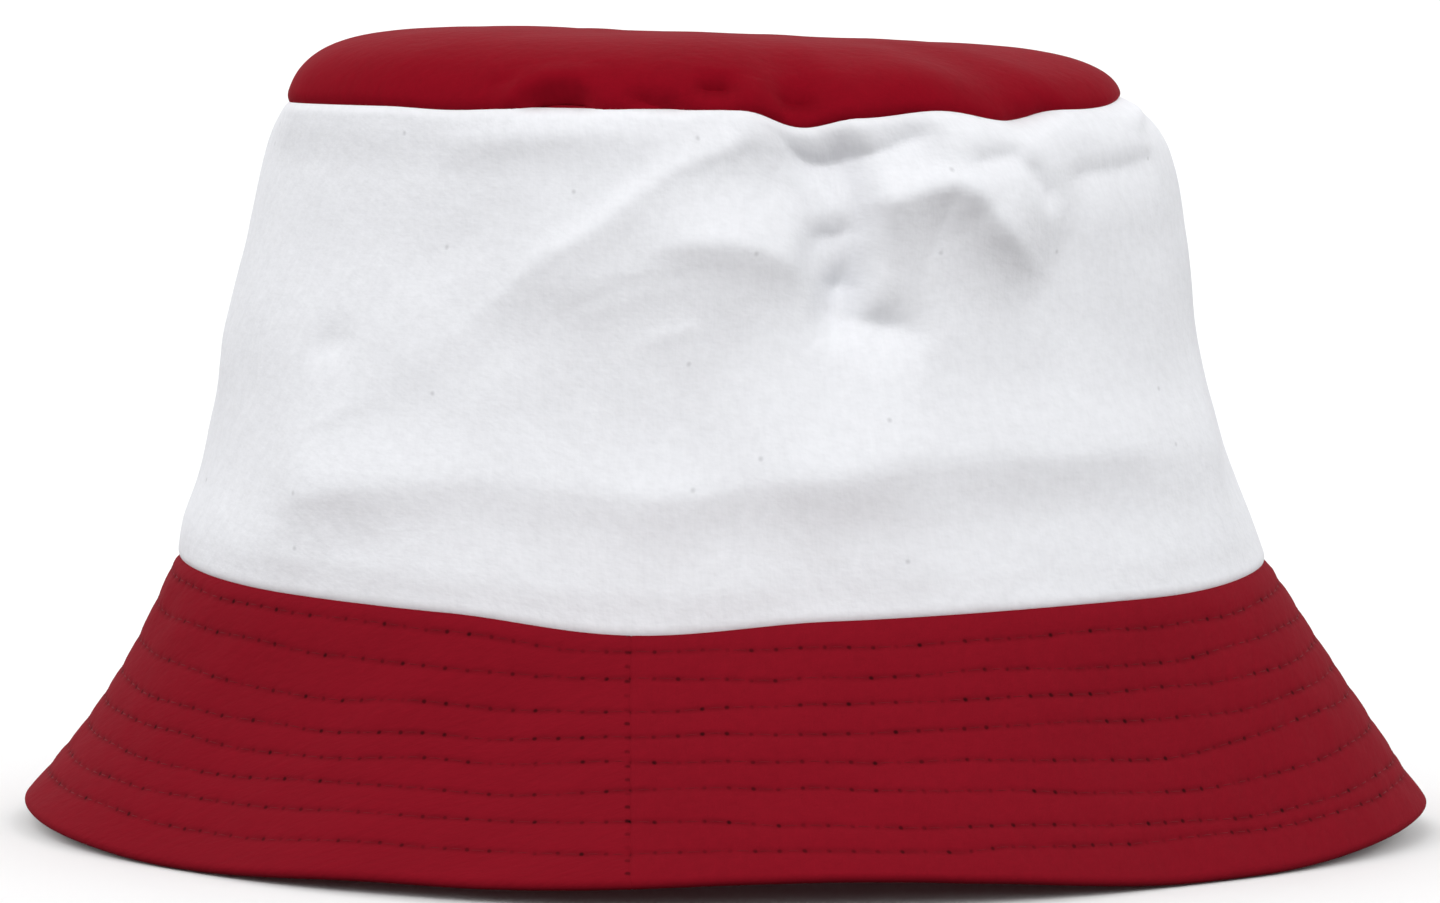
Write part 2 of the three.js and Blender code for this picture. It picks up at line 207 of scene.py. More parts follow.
# Flutes in the brim: angle, width in degrees, and how far the brim bows out in millimetres.
BRIM_FLUTES = [
    (-152, 16, 0.7), (-131, 14, -0.6), (-112, 13, -0.9), (-88, 16, 0.8), (-60, 14, 0.5), (-42, 16, -0.9),
    (-18, 14, 0.5), (12, 18, -0.7), (44, 20, 0.8), (76, 16, -0.7), (108, 18, 0.8), (142, 20, -0.8),
]

# Soft unevenness of each piece, which no cloth is free of: height and wavelength in millimetres, and
# the seed of its random directions.
BAND_RIPPLES = [(0.3, 26, 11), (0.12, 10, 12)]
TIP_RIPPLES = [(0.25, 30, 21), (0.1, 12, 22)]
BRIM_RIPPLES = [(0.16, 17, 31), (0.1, 7, 32)]

# Where each stitch row strays from its even place: angle, then the shift down of row 1 to row 8 as a
# share of ROW_SPACING.
ROW_WANDER = np.array([
    (-150, 0, 0, 0.23, 0.3, 0.15, 0.08, -0.04, -0.19),
    (-128, 0.05, 0.08, 0.38, 0.35, 0.15, -0.04, -0.15, -0.12),
    (-114, 0.04, 0.12, 0.19, 0.12, -0.04, -0.08, -0.19, -0.15),
    (-99, 0.05, -0.09, -0.04, -0.12, -0.31, -0.3, -0.2, -0.12),
    (-92, 0.1, 0.05, 0.08, -0.04, -0.18, -0.23, -0.06, -0.03),
    (-84, 0.34, 0.3, 0.23, 0.18, 0.1, 0.02, 0.22, 0.11),
    (-77, 0.38, 0.38, 0.27, 0.18, 0.19, 0.12, 0.34, 0.23),
    (-72, 0.38, 0.38, 0.23, 0.15, 0.19, 0.12, 0.34, 0.2),
    (-66, 0.36, 0.34, 0.18, 0.1, 0.17, 0.12, 0.28, -0.08),
    (-48, 0.38, 0.42, 0.19, 0.08, 0.23, 0.31, 0.19, -0.31),
    (-25, 0.35, 0.31, 0.27, 0.15, -0.08, 0.15, 0.35, -0.19),
    (30, 0, 0.1, -0.1, 0.05, 0, -0.1, 0.05, -0.1),
    (90, 0.2, 0.1, 0.15, 0, 0.1, 0.15, 0, -0.15),
    (150, 0, -0.1, 0, 0.1, 0.05, 0, 0.1, -0.1),
])


def bump(t):
    """1 at 0, falling to 0 at -1 and 1: half of one plus the cosine of half a turn per unit."""
    return (1 + np.cos(np.pi * np.clip(t, -1, 1))) / 2


def smooth(low, high, value):
    """0 up to low, 1 from high, and three t squared less two t cubed between them."""
    t = np.clip((value - low) / (high - low), 0, 1)
    return t * t * (3 - 2 * t)


def mix(start, end, share):
    """The value that is a share of the way from start to end."""
    return start + (end - start) * share


def turn_between(start, end):
    """The shortest way round from one angle to another, in degrees."""
    return (end - start + 180) % 360 - 180


def waves_at(waves, angle):
    """The sum of each wave's rise, times the bump of the turn from its angle over its width."""
    return sum(rise * bump(turn_between(at, angle) / width) for at, width, rise in waves)


def edge_height(angle):
    return EDGE_LIFT * waves_at(EDGE_WAVES, angle)


def brim_seam_height(angle):
    return BRIM_HEIGHT + BRIM_SEAM_DIP * waves_at(BRIM_SEAM_WAVES, angle)


def tip_seam_height(angle):
    return BRIM_HEIGHT + CROWN_HEIGHT + TIP_SEAM_DIP * waves_at(TIP_SEAM_WAVES, angle)


def section_at(column, height):
    """A column of CROWN_SECTIONS at any height: a cubic through two rows, whose slope at each row is
    that of the line between its neighbours."""
    at, value = CROWN_SECTIONS[:, 0], CROWN_SECTIONS[:, column]
    last = len(at) - 1
    i = np.clip(np.searchsorted(at, height) - 1, 0, last - 1)
    before, after = np.maximum(i - 1, 0), np.minimum(i + 2, last)
    span = at[i + 1] - at[i]
    t = (height - at[i]) / span
    rise = value[i + 1] - value[i]
    start_slope = (value[i + 1] - value[before]) / (at[i + 1] - at[before]) * span
    end_slope = (value[after] - value[i]) / (at[after] - at[i]) * span
    bend = (1 - t) * (start_slope - rise) - t * (end_slope - rise)
    return value[i] + t * rise + t * (1 - t) * bend


def outline_at(height):
    """The crown's outside outline at a height share: half length, half breadth, and shift along X."""
    spread = section_at(1, height)
    half_length = mix(TIP_LENGTH / 2, HEAD_LENGTH / 2 + CLOTH, spread)
    half_breadth = mix(TIP_BREADTH / 2, HEAD_BREADTH / 2 + CLOTH, spread)
    return half_length, half_breadth, HEAD_LENGTH * section_at(2, height)


def oval_point(half_length, half_breadth, shift, angle, z):
    """A place on an oval: its half length times the cosine, and its half breadth times the sine."""
    turn = np.radians(angle)
    x = shift + half_length * np.cos(turn)
    return np.stack(np.broadcast_arrays(x, half_breadth * np.sin(turn), z), axis=-1)


def oval_normal(half_length, half_breadth, angle):
    """The level direction straight out of an oval: cosine over half length, sine over half breadth."""
    turn = np.radians(angle)
    x, y = np.cos(turn) / half_length, np.sin(turn) / half_breadth
    size = np.hypot(x, y)
    return np.stack(np.broadcast_arrays(x / size, y / size, 0 * size), axis=-1)


def ripples(points, wavelength, seed, count=14):
    """Soft random unevenness from -1 to 1: the mean of sines of the place along seeded directions,
    each with a wavelength within a third of the given one."""
    draw = np.random.default_rng(seed)
    directions = draw.normal(size=(count, 3))
    directions /= np.linalg.norm(directions, axis=1, keepdims=True)
    lengths = wavelength * draw.uniform(0.67, 1.33, count)
    phases = draw.uniform(0, 2 * np.pi, count)
    waves = np.sin(points @ (2 * np.pi * directions / lengths[:, None]).T + phases)
    return waves.mean(axis=-1) * np.sqrt(count) / 2


def unevenness(points, waves):
    """The sum of ripples, each times its height, from a list of (height, wavelength, seed)."""
    return sum(height * ripples(points, wavelength, seed) for height, wavelength, seed in waves)


def flat_place(angle, height, start):
    """The band laid flat: millimetres along from a start (angle, height), and millimetres up."""
    along = turn_between(start[0], angle) / 360 * BAND_GIRTH
    return along, (height - start[1]) * CROWN_HEIGHT


def broad_folds_at(angle, height):
    """How far the broad folds stand out: each is a bump of the distance from its straight crease."""
    total = 0
    for a, h, end_a, end_h, rise, width in BROAD_FOLDS:
        run, climb = flat_place(end_a, end_h, (a, h))
        x, y = flat_place(angle, height, (a, h))
        share = np.clip((x * run + y * climb) / (run**2 + climb**2), 0, 1)
        away = np.hypot(x - share * run, y - share * climb)
        total = total + rise * FOLD_DEPTH * bump(away / (width * FOLD_WIDTH))
    return total


def smooth_path(points, steps=9):
    """A curve through points: between two of them, a cubic whose slopes follow their neighbours."""
    p = np.vstack([2 * points[0] - points[1], points, 2 * points[-1] - points[-2]])
    t = np.linspace(0, 1, steps, endpoint=False)[:, None]
    pieces = [
        0.5 * (2 * b + (c - a) * t + (2 * a - 5 * b + 4 * c - d) * t**2 + (3 * b - a - 3 * c + d) * t**3)
        for a, b, c, d in zip(p[:-3], p[1:-2], p[2:-1], p[3:])
    ]
    return np.vstack(pieces + [points[-1:]])


def crease_at(angle, height, rise, left, right, ease, path, soft=0.6, power=2):
    """How far one crease stands out. It is a function of the distance from the nearest piece of its
    path, over the spread of that side: one less the distance, rounded over soft millimetres, to a
    power, so that it is steepest near the path. It fades towards both ends."""
    start = path[0]
    along, up = flat_place(np.array([a for a, _ in path]), np.array([h for _, h in path]), start)
    curve = smooth_path(np.stack([along, up], axis=1))
    lengths = np.linalg.norm(np.diff(curve, axis=0), axis=1)
    passed = np.concatenate([[0], np.cumsum(lengths)]) / lengths.sum()
    x, y = flat_place(angle, height, start)
    nearest = np.full(x.shape, np.inf)
    side, share = np.zeros(x.shape), np.zeros(x.shape)
    for k, (here, there) in enumerate(zip(curve[:-1], curve[1:])):
        run, climb = there - here
        dx, dy = x - here[0], y - here[1]
        t = np.clip((dx * run + dy * climb) / lengths[k] ** 2, 0, 1)
        away = np.hypot(dx - t * run, dy - t * climb)
        closer = away < nearest
        nearest = np.where(closer, away, nearest)
        side = np.where(closer, run * dy - climb * dx, side)
        share = np.where(closer, mix(passed[k], passed[k + 1], t), share)
    spread = np.where(side > 0, left, right)
    softened = (np.hypot(nearest, soft) - soft) / (np.hypot(spread, soft) - soft)
    fade_in = smooth(0, ease[0], share) if ease[0] else 1
    fade_out = smooth(0, ease[1], 1 - share) if ease[1] else 1
    return rise * fade_in * fade_out * np.clip(1 - softened, 0, 1) ** power


def creases_at(angle, height):
    """How far all the sharp creases of the crown stand out together."""
    return sum(crease_at(angle, height, *crease) for crease in CROWN_CREASES)


def tuck_at(distance, depth=TUCK, width=TUCK_WIDTH):
    """How far cloth rolls in near a seam: a parabola from depth at the seam to nothing at width."""
    return depth * np.clip(1 - distance / width, 0, 1) ** 2


def round_end(distance, radius):
    """The share of its thickness that cloth has near a rounded end: the height of a half circle."""
    t = np.clip(distance / radius, 0, 1)
    return np.sqrt(1 - (1 - t) ** 2)


def graded(length, step, ends=(0, 0.06, 0.2, 0.42, 0.7, 1.05, 1.5, 2.1)):
    """Places from 0 to length, about a step apart, and closer together near both ends."""
    ends = np.array(ends)
    count = max(2, int(round((length - 2 * ends[-1]) / step)))
    middle = np.linspace(ends[-1], length - ends[-1], count + 1)[1:-1]
    return np.concatenate([ends, middle, (length - ends)[::-1]])


def new_piece(name, points, triangles, maps, material, node=None):
    """A mesh from points in millimetres, triangles, and UV maps of one place for each corner."""
    used, triangles = np.unique(triangles, return_inverse=True)
    triangles = triangles.reshape(-1, 3)
    mesh = bpy.data.meshes.new(name)
    mesh.vertices.add(len(used))
    mesh.vertices.foreach_set("co", (points[used] * MM).astype(np.float32).ravel())
    mesh.loops.add(triangles.size)
    mesh.loops.foreach_set("vertex_index", triangles.astype(np.int32).ravel())
    mesh.polygons.add(len(triangles))
    mesh.polygons.foreach_set("loop_start", np.arange(0, triangles.size, 3, dtype=np.int32))
    mesh.polygons.foreach_set("use_smooth", np.ones(len(triangles), dtype=bool))
    mesh.update(calc_edges=True)
    for map_name, corners in maps.items():
        mesh.uv_layers.new(name=map_name).data.foreach_set("uv", corners.astype(np.float32).ravel())
    mesh.materials.append(material)
    piece = bpy.data.objects.new(name, mesh)
    bpy.context.collection.objects.link(piece)
    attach(piece, "root")
    if node:
        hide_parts(node)
    return piece


def grid_normals(points, ring, pole):
    """Unit normals of a grid of points: the cross product of its steps along columns and rows."""
    if ring:
        across = np.roll(points, -1, axis=1) - np.roll(points, 1, axis=1)
    else:
        across = np.gradient(points, axis=1)
    normals = np.cross(across, np.gradient(points, axis=0))
    if pole:
        normals[-1] = normals[-2].mean(axis=0)
    return normals / np.linalg.norm(normals, axis=-1, keepdims=True)


def cloth_wall(name, middle, half, maps, material, node, ring=False, pole=False):
    """A closed wall of cloth: every point of the middle surface moved half the thickness out along
    its normal, and half in. The two faces share their points along each rounded border."""
    rows, columns = middle.shape[:2]
    normals = grid_normals(middle, ring, pole)
    points = np.concatenate([
        (middle + normals * half[..., None]).reshape(-1, 3),
        (middle - normals * half[..., None]).reshape(-1, 3),
    ])
    outer = np.arange(rows * columns).reshape(rows, columns)
    inner = outer + rows * columns
    inner[0] = outer[0]
    if pole:
        outer[-1] = outer[-1, 0]
        inner[-1] = inner[-1, 0]
    else:
        inner[-1] = outer[-1]
    if not ring:
        inner[:, [0, -1]] = outer[:, [0, -1]]
    r, c = np.indices((rows - 1, columns if ring else columns - 1)).reshape(2, -1)
    corner_rows = np.stack([r, r, r + 1, r, r + 1, r + 1], axis=1).reshape(-1, 3)
    corner_columns = np.stack([c, c + 1, c + 1, c, c + 1, c], axis=1).reshape(-1, 3)
    front = outer[corner_rows, corner_columns % columns]
    back = inner[corner_rows, corner_columns % columns][:, ::-1]
    triangles = np.concatenate([front, back])
    whole = np.all(triangles != np.roll(triangles, 1, axis=1), axis=1)
    corners = {}
    for map_name, places in maps.items():
        on_front = places[corner_rows, corner_columns]
        corners[map_name] = np.concatenate([on_front, on_front[:, ::-1]])[whole]
    return new_piece(name, points, triangles[whole], corners, material, node)


def run_lengths(points, ring=False):
    """Distance along each row of a grid, from its first column, and once more round for a ring."""
    if ring:
        points = np.concatenate([points, points[:, :1]], axis=1)
    steps = np.linalg.norm(np.diff(points, axis=1), axis=-1)
    return np.concatenate([np.zeros((len(points), 1)), np.cumsum(steps, axis=1)], axis=1)


# UV maps are in units of a hundred millimetres, so that their numbers stay near one.
MAP_UNIT = 100


def make_band(material):
    """The side band: an oval whose outline follows CROWN_SECTIONS from the brim seam to the tip seam,
    moved out by its broad folds, its creases and a soft unevenness, which fade out at the seams."""
    columns, row_step = 468, 0.93
    from_seam = graded(CROWN_HEIGHT, row_step)
    height, angle = np.meshgrid(from_seam / CROWN_HEIGHT, np.arange(columns) * 360 / columns, indexing="ij")
    outline = outline_at(height)
    low = brim_seam_height(angle) - SEAM_LAP
    high = tip_seam_height(angle) + SEAM_LAP
    surface = oval_point(*outline, angle, mix(low, high, height))
    from_low, from_high = height * CROWN_HEIGHT, (1 - height) * CROWN_HEIGHT
    uneven = unevenness(surface, BAND_RIPPLES) * smooth(0, SEAM_CALM, from_high)
    stand = broad_folds_at(angle, height) + creases_at(angle, height) + uneven
    stand = stand * smooth(0, SEAM_CALM, from_low) - CLOTH / 2
    stand = stand - tuck_at(from_low) - tuck_at(from_high)
    middle = surface + oval_normal(*outline[:2], angle) * stand[..., None]
    half = CLOTH / 2 * np.minimum(round_end(from_low, CLOTH / 2), round_end(from_high, CLOTH / 2))
    along = np.broadcast_to(run_lengths(middle[len(middle) // 2][None], True), (len(height), columns + 1))
    up = np.broadcast_to(from_seam[:, None], along.shape)
    maps = {"cloth": np.stack([along, up], axis=-1) / MAP_UNIT}
    cloth_wall("band_cloth", middle, half, maps, material, "crown_band", ring=True)


# How far past the tip seam, in millimetres, the creases of the side run on before they have faded, and
# how much closer the tip's rings lie at its seam than in its middle.
RIM_CREASES_END = 22
RING_CROWDING = 2.2


def make_tip(material):
    """The oval tip: upright at its seam and nearly level in its middle. Its height is the tip's rise
    times the square root of one less the way out to the power of its fullness, less its dents."""
    columns, rings = 400, 74
    edge = graded(1, 1 / rings, ends=(0, 0.002, 0.006, 0.012))[:-3]
    place, angle = np.meshgrid(edge, np.arange(columns) * 360 / columns, indexing="ij")
    out = 1 - place**RING_CROWDING
    turn = np.radians(angle)
    half_length, half_breadth, shift = outline_at(np.ones(1))
    fullness = TIP_FULLNESS - np.cos(turn)
    level = np.sqrt(np.clip(1 - out**fullness, 0, 1))
    upright = out ** (fullness / 2)
    rise = TIP_RISE * (1 - TIP_TILT * out * np.cos(turn))
    seam = mix(BRIM_HEIGHT + CROWN_HEIGHT, tip_seam_height(angle), out**fullness)
    surface = oval_point(half_length * out, half_breadth * out, shift, angle, seam + rise * level - SEAM_LAP)
    facing = oval_normal(half_length, half_breadth, angle) * upright[..., None]
    facing[..., 2] = level
    dent = 0
    for at, share, depth, width in TIP_DENTS:
        centre = oval_point(half_length * share, half_breadth * share, 0, at, 0)
        flat = oval_point(half_length * out, half_breadth * out, 0, angle, 0)
        away = np.linalg.norm(flat - centre, axis=-1)
        dent = dent + depth * DENT_DEPTH * bump(away / (width * DENT_WIDTH))
    climb = np.linalg.norm(np.diff(surface, axis=0), axis=-1).mean(axis=1)
    from_seam = np.concatenate([[0], np.cumsum(climb)])[:, None] * np.ones((1, columns))
    rim_fold = broad_folds_at(angle, np.ones_like(angle)) * upright
    rim_crease = creases_at(angle, 1 + from_seam / CROWN_HEIGHT) * smooth(RIM_CREASES_END, 0, from_seam)
    stand = rim_fold + rim_crease - dent * (1 - upright**2) - CLOTH / 2
    stand = stand + unevenness(surface, TIP_RIPPLES) * level
    stand = stand - tuck_at(from_seam)
    middle = surface + facing * stand[..., None]
    half = CLOTH / 2 * round_end(from_seam, CLOTH / 2)
    around = np.radians(np.arange(columns + 1) * 360 / columns)
    from_middle = from_seam[-1, 0] - from_seam[:, :1]
    flat_map = from_middle[..., None] * np.stack([np.cos(around), np.sin(around)], axis=-1) / MAP_UNIT
    cloth_wall("tip_cloth", middle, half, {"cloth": flat_map}, material, "crown_tip",
               ring=True, pole=True)


# The two seams of the brim lean a little: the angle of each at the crown and at the edge.
FRONT_SEAM = (-99, -96.5)
BACK_SEAM = (88, 88.5)
FRONT_SEAM_AGAIN = (FRONT_SEAM[0] + 360, FRONT_SEAM[1] + 360)

STITCH_DISTANCES = FIRST_ROW + ROW_SPACING * np.arange(STITCH_ROWS)

# Small wavers of each stitch row: size as a share of ROW_SPACING, waves round the hat, and how far in
# radians each row's waves lie from those of the row before.
ROW_WAVERS = [(0.03, 9, 2.4), (0.02, 23, 5)]

# The share of a flute's depth that is left at the brim's edge.
FLUTE_AT_EDGE = 0.25

# Distances in millimetres at which the brim's mesh has rows of points: either side of a stitch row,
# down from the band, and up from the edge.
NEAR_ROW = np.array([-2.4, -1.5, -0.9, -0.45, 0, 0.45, 0.9, 1.5, 2.4])
NEAR_BAND = np.array([-SEAM_LAP, -0.06, 0.05, 0.2, 0.36])
NEAR_EDGE = np.array([3.2, 2.4, 1.8, 1.4, 1.05, 0.7, 0.42, 0.2, 0.06, 0])
# Half the brim's length at its edge, its length on the whole, and the step of its columns of points.
HALF_BRIM_EDGE = 360
HALF_BRIM_RUN = 340
COLUMN_STEP = 1.05
# Distances over which the two edges are rounded, and from the edge to the hem's full thickness.
BAND_SIDE_ROUND = 0.9
EDGE_ROUND = 1.1
HEM_STEP = 3


def wander_at(row, angle):
    """How far a stitch row strays down, in millimetres: the shifts of ROW_WANDER with smooth steps
    between its angles, and a small waver of two sines, as a hand that steers the cloth leaves it."""
    stops = np.append(ROW_WANDER[:, 0], ROW_WANDER[0, 0] + 360) - ROW_WANDER[0, 0]
    shifts = np.append(ROW_WANDER[:, row + 1], ROW_WANDER[0, row + 1])
    turn = (angle - ROW_WANDER[0, 0]) % 360
    i = np.clip(np.searchsorted(stops, turn, side="right") - 1, 0, len(stops) - 2)
    shift = mix(shifts[i], shifts[i + 1], smooth(stops[i], stops[i + 1], turn))
    around = np.radians(angle)
    waver = sum(size * np.sin(count * around + step * row) for size, count, step in ROW_WAVERS)
    return ROW_SPACING * (shift + waver)


def brim_angle(seams, column, distance):
    """The angle at a share of the way between two leaning seams, at a distance down the brim."""
    start, end = seams
    down = distance / BRIM_WIDTH
    return mix(mix(*start, down), mix(*end, down), column)


def sewn_distance(angle, distance):
    """The true distance down the brim of a place that even rows would put at a distance: each row's
    wander, fading in straight lines to nothing at the rows, seam or edge beside it."""
    stops = np.concatenate([[0], STITCH_DISTANCES, [BRIM_WIDTH]])
    total = distance
    for row, (before, here, after) in enumerate(zip(stops, stops[1:], stops[2:])):
        share = np.minimum((distance - before) / (here - before), (after - distance) / (after - here))
        total = total + wander_at(row, angle) * np.clip(share, 0, 1)
    return total


def brim_place(seams, column, even_distance):
    """The middle surface of half a brim, and the way out of it, at a share of the way between its two
    seams and a distance down from the brim seam. It is a straight slope that falls to the edge's
    height in the brim's width, with a sag, flutes and a soft unevenness."""
    angle = brim_angle(seams, column, even_distance)
    distance = sewn_distance(angle, even_distance)
    down = distance / BRIM_WIDTH
    half_length, half_breadth, shift = outline_at(np.zeros(1))
    top = brim_seam_height(angle)
    fall = top - edge_height(angle)
    reach = np.sqrt(BRIM_WIDTH**2 - fall**2)
    normal = oval_normal(half_length, half_breadth, angle)
    outward = normal * (fall / BRIM_WIDTH)[..., None]
    outward[..., 2] = reach / BRIM_WIDTH * smooth(-SEAM_LAP, SEAM_TURN, distance)
    base = oval_point(half_length, half_breadth, shift, angle, top - fall * down)
    base = base + normal * (reach * down)[..., None]
    bow = np.sin(np.pi * np.clip(down, 0, 1)) * (1 - FLUTE_AT_EDGE) + down * FLUTE_AT_EDGE
    stand = -BRIM_SAG * (BRIM_SKEW - np.cos(np.radians(angle))) * np.sin(np.pi * down)
    stand = stand + waves_at(BRIM_FLUTES, angle) * bow
    quilted = smooth(0, FIRST_ROW, distance) * smooth(BRIM_WIDTH, LAST_ROW, distance)
    stand = stand + unevenness(base, BRIM_RIPPLES) * quilted
    stand = stand - BRIM_CLOTH / 2 - tuck_at(distance)
    return base + outward * stand[..., None], outward


def row_ends(seams, distance):
    """Shares of the way between two seams at which the stitches of a row start and end: even steps
    along the row, as near to the stitch length as fills it."""
    share = np.linspace(0, 1, 1500)
    row, _ = brim_place(seams, share, np.full_like(share, distance))
    passed = run_lengths(row[None])[0]
    count = int(round(passed[-1] / STITCH_LENGTH))
    return np.interp(np.linspace(0, passed[-1], count + 1), passed, share)


def make_brim_half(name, node, seams, material):
    """Half of the brim: two layers that puff apart between the stitch rows, with a thicker hem. Half
    the puff is GROOVE_DEPTH less a bell of the distance to the nearest row, with a dimple at each
    needle hole."""
    rows = (STITCH_DISTANCES[:, None] + NEAR_ROW).ravel()
    last = BRIM_WIDTH - EDGE_SETBACK
    clear_of_band = rows > NEAR_BAND[-1] + 0.1
    distances = np.concatenate([NEAR_BAND, rows[clear_of_band], last - NEAR_EDGE])
    lap = SEAM_LAP / HALF_BRIM_RUN
    share = graded(HALF_BRIM_EDGE, COLUMN_STEP) / HALF_BRIM_EDGE * (1 + 2 * lap) - lap
    even, column = np.meshgrid(distances, share, indexing="ij")
    middle, outward = brim_place(seams, column, even)
    passed = run_lengths(middle)
    from_far_end = passed[:, -1:] - passed
    from_end = np.minimum(passed, from_far_end)

    angle = brim_angle(seams, column, even)
    distance = sewn_distance(angle, even)
    nearest_row = np.clip(np.round((even - FIRST_ROW) / ROW_SPACING), 0, STITCH_ROWS - 1)
    stitch, from_row = np.zeros_like(column), np.zeros_like(column)
    for row, row_distance in enumerate(STITCH_DISTANCES):
        ends = row_ends(seams, row_distance)
        near = nearest_row == row
        stitch = np.where(near, np.interp(column, ends, np.arange(len(ends))), stitch)
        from_row = np.where(near, distance - row_distance - wander_at(row, angle), from_row)

    bell = np.exp(-((from_row / GROOVE_WIDTH) ** 2))
    at_hole = ((1 + np.cos(2 * np.pi * stitch)) / 2) ** 3
    puff = GROOVE_DEPTH * (1 - bell) - PUCKER * bell**2 * at_hole
    quilted = smooth(0.3, FIRST_ROW, distance) * smooth(BRIM_WIDTH, LAST_ROW, distance)
    thickness = mix(BRIM_CLOTH, HEM_CLOTH, smooth(LAST_ROW, BRIM_WIDTH - HEM_STEP, distance))
    half = thickness / 2 + puff * quilted
    half = half * round_end(even - distances[0], BAND_SIDE_ROUND) * round_end(last - even, EDGE_ROUND)
    half = half * round_end(from_end, SEAM_ROUND)
    middle = middle - outward * tuck_at(from_end, SEAM_DITCH, SEAM_DITCH_WIDTH)[..., None]

    cloth = np.stack([passed, distance], axis=-1) / MAP_UNIT
    stitches = np.stack([stitch, nearest_row + np.clip(from_row / ROW_SPACING, -0.49, 0.49)], axis=-1)
    ends = np.stack([from_far_end, distance / SEAM_STITCH_LENGTH], axis=-1)
    maps = {"cloth": cloth, "stitches": stitches, "ends": ends}
    cloth_wall(name, middle, half, maps, material, node)


# A stitch's thread lies sunk by the first share of THREAD along its middle, and dives by the second
# distance in millimetres at its ends. Its points run over this part of the way between two holes.
THREAD_SUNK = 0.45
THREAD_DIVE = 0.36
STITCH_PART = (0.09, 0.91)


def make_threads(name, runs, material):
    """Stitches as tubes with closed ends. Each run is an array of stitches by points along them, with
    the way out of the cloth at each point. A ring is the centre plus the radius times the cosine of
    its turn along the way out and the sine across it."""
    around = 6
    centres = np.concatenate([centre for centre, _ in runs])
    ways = np.concatenate([way for _, way in runs])
    along = np.gradient(centres, axis=1)
    across = np.cross(along, ways)
    across /= np.linalg.norm(across, axis=-1, keepdims=True)
    upright = np.cross(across, along)
    upright /= np.linalg.norm(upright, axis=-1, keepdims=True)
    count, points = centres.shape[:2]
    radius = THREAD * round_end(np.minimum(np.arange(points), np.arange(points)[::-1]) + 0.25, 1.4)
    turn = np.arange(around) * 2 * np.pi / around
    ring = upright[:, :, None] * np.cos(turn)[:, None] + across[:, :, None] * np.sin(turn)[:, None]
    tube = centres[:, :, None] + ring * radius[:, None, None]
    number = np.arange(tube[..., 0].size).reshape(count, points, around)
    beside = np.roll(number, -1, axis=2)
    a, b, c, d = number[:, :-1], beside[:, :-1], beside[:, 1:], number[:, 1:]
    sides = np.stack([a, b, c, a, c, d], axis=-1).reshape(-1, 3)
    fan = np.array([(0, k + 1, k) for k in range(1, around - 1)])
    first_caps = number[:, 0][:, fan].reshape(-1, 3)
    last_caps = number[:, -1][:, fan[:, ::-1]].reshape(-1, 3)
    triangles = np.concatenate([sides, first_caps, last_caps])
    new_piece(name, tube.reshape(-1, 3), triangles, {}, material)


def row_stitches(seams, side):
    """Points along every stitch of the rows, on the outside (side 1) or the inside (side -1) of the
    brim. A stitch lies half sunk in its groove, and dives into the cloth at both ends by the fourth
    power of the way from its middle."""
    share = np.linspace(*STITCH_PART, 6)
    lift = -THREAD_SUNK * THREAD - THREAD_DIVE * (2 * share - 1) ** 4
    runs = []
    for distance in STITCH_DISTANCES:
        ends = row_ends(seams, distance)
        column = mix(ends[:-1, None], ends[1:, None], share)
        place, outward = brim_place(seams, column, np.full_like(column, distance))
        stand = side * (BRIM_CLOTH / 2 - PUCKER * (2 * share - 1) ** 2 + lift)
        runs.append((place + outward * stand[:, None], outward * side))
    return runs


def linear(colour):
    """A '#rrggbb' sRGB colour as linear red, green, blue and one."""
    s = np.array([int(colour[i:i + 2], 16) for i in (1, 3, 5)]) / 255
    return tuple(np.where(s <= 0.04045, s / 12.92, ((s + 0.055) / 1.055) ** 2.4)) + (1,)


MATH = "ShaderNodeMath"
VECTOR = "ShaderNodeVectorMath"
NOISE = "ShaderNodeTexNoise"
RANGE = "ShaderNodeMapRange"
PARTS = "ShaderNodeSeparateXYZ"


def add(tree, kind, inputs=(), **settings):
    """Adds a node, with its settings. An input is a plain value, a socket to link from, or a node whose
    first output is linked."""
    node = tree.nodes.new(kind)
    for name, value in settings.items():
        setattr(node, name, value)
    named = inputs.items() if isinstance(inputs, dict) else enumerate(inputs)
    for name, value in named:
        value = value.outputs[0] if isinstance(value, bpy.types.Node) else value
        if isinstance(value, bpy.types.NodeSocket):
            tree.links.new(value, node.inputs[name])
        else:
            node.inputs[name].default_value = value
    return node


def new_material(name):
    """An empty node material, with its tree and its Principled shader."""
    material = bpy.data.materials.new(name)
    material.use_nodes = True
    tree = material.node_tree
    tree.nodes.clear()
    shader = add(tree, "ShaderNodeBsdfPrincipled")
    add(tree, "ShaderNodeOutputMaterial", {"Surface": shader})
    return material, tree, shader


WHITE_DYE = "#e7e8ec"
TIP_DYE = "#7e0517"
# The brim is the same cloth as the tip. Its red is painted slightly darker, as painted shade, to offset the
# stronger light that falls on the sloping brim.
BRIM_DYE_WITH_SHADE = "#7a0c1b"

# The cloth's threads are 0.35 mm apart. They are drawn 0.75 mm apart, which still shows, as lumps four
# times as long as they are wide. The twill's diagonal ribs are drawn 0.9 mm apart.
THREAD_WIDTH = 0.75
THREAD_LUMP = 3.0
RIB_WIDTH = 0.9
RIB_SLANT = 63
RIB_SHARE = 0.035
# How far the ribs bend, in radians, and the width of the patches over which they do, in millimetres.
RIB_BEND = 14.0
RIB_PATCH = 7


